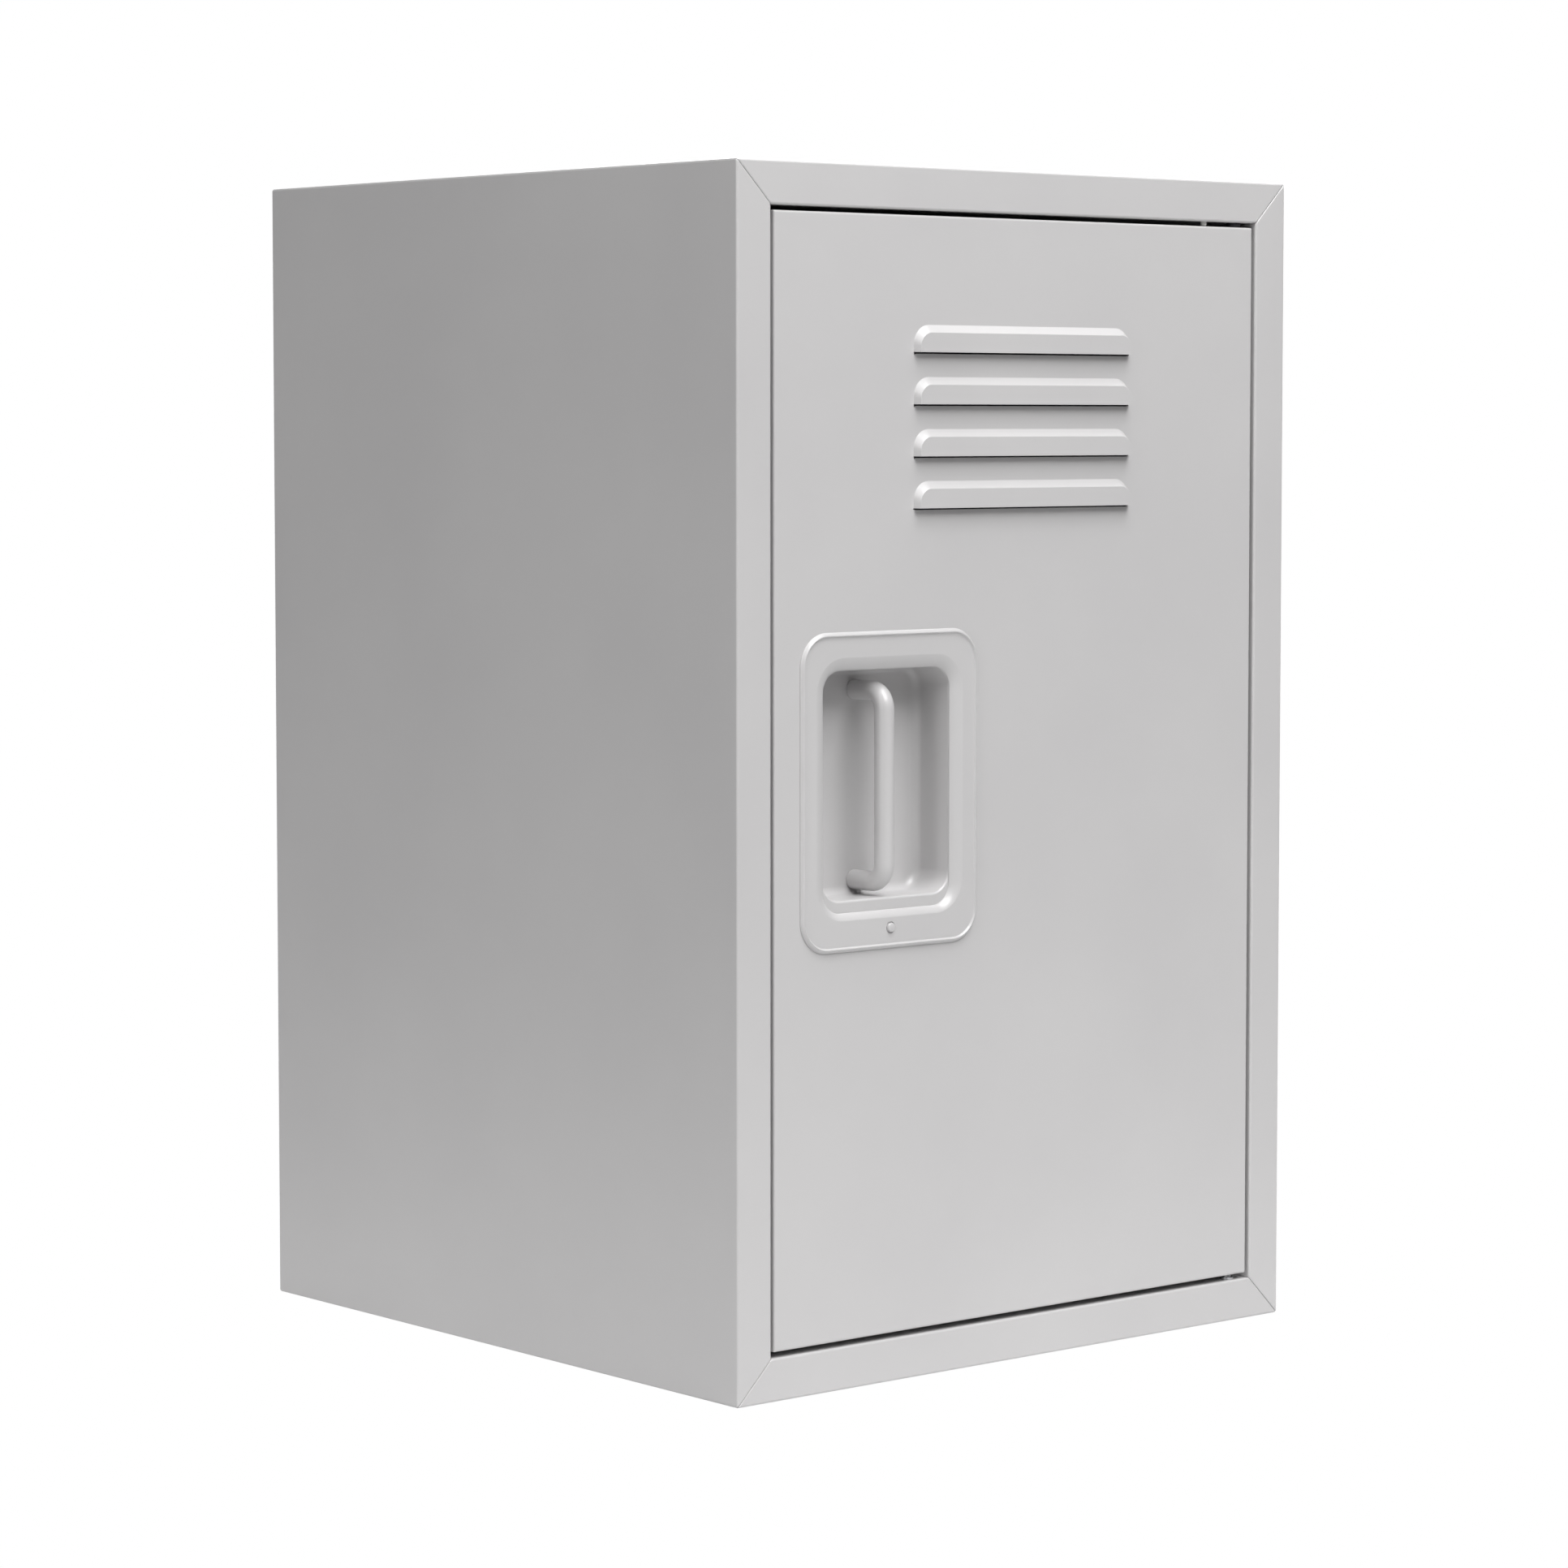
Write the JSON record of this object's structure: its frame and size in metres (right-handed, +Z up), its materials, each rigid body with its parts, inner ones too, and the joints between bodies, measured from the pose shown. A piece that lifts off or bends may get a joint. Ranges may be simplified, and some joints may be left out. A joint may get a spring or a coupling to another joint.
{
  "type": "locker cabinet",
  "caption": "Compact steel locker cabinet with a hinged door, pressed louvres and a recessed pull handle.",
  "frame": {"origin": "centre of the cabinet's footprint, on the floor", "axes": "+Z up; the door faces -Y and hangs on pivots at its +X edge; +X to the right as seen from the front"},
  "size_m": [0.38, 0.4033, 0.61],
  "materials": {
    "light_grey_paint": "satin powder coat",
    "zinc_steel": "bright zinc plate",
    "black_rubber": "matt",
    "black_plastic": "fine textured",
    "white_nylon": "satin moulded"
  },
  "bodies": {
    "carcass": {"left_side_panel": "light_grey_paint", "right_side_panel": "light_grey_paint", "top_panel": "light_grey_paint", "bottom_panel": "light_grey_paint", "back_panel": "light_grey_paint", "shelf": "light_grey_paint", "shelf_rail_left": "light_grey_paint", "shelf_rail_right": "light_grey_paint", "door_stop_angle": "light_grey_paint", "stop_rivets": "zinc_steel", "door_bumpers": "black_rubber", "catch_housing": "black_plastic", "catch_magnet": "zinc_steel", "catch_screws": "zinc_steel", "lower_hinge_bracket": "zinc_steel", "upper_hinge_bracket": "zinc_steel", "hinge_rivets": "zinc_steel", "lower_hinge_pin": "zinc_steel", "upper_hinge_pin": "zinc_steel", "upper_hinge_washer": "black_plastic", "upper_hinge_nut": "zinc_steel", "anti_rattle_stud": "white_nylon"},
    "door": {"door_skin": "light_grey_paint", "door_stiffener": "light_grey_paint", "lower_pivot_plate": "zinc_steel", "upper_pivot_plate": "zinc_steel", "handle_bezel": "light_grey_paint", "bezel_rivet": "light_grey_paint", "recess_pan": "light_grey_paint", "pan_screws": "zinc_steel", "pull_bar": "light_grey_paint", "handle_screws": "zinc_steel"}
  },
  "joints": [
    {"name": "door_hinge", "type": "hinge", "parent": "carcass", "child": "door", "pos_m": [0.157, -0.194, 0], "axis": [0, 0, 1], "range_deg": [0, 110]}
  ]
}
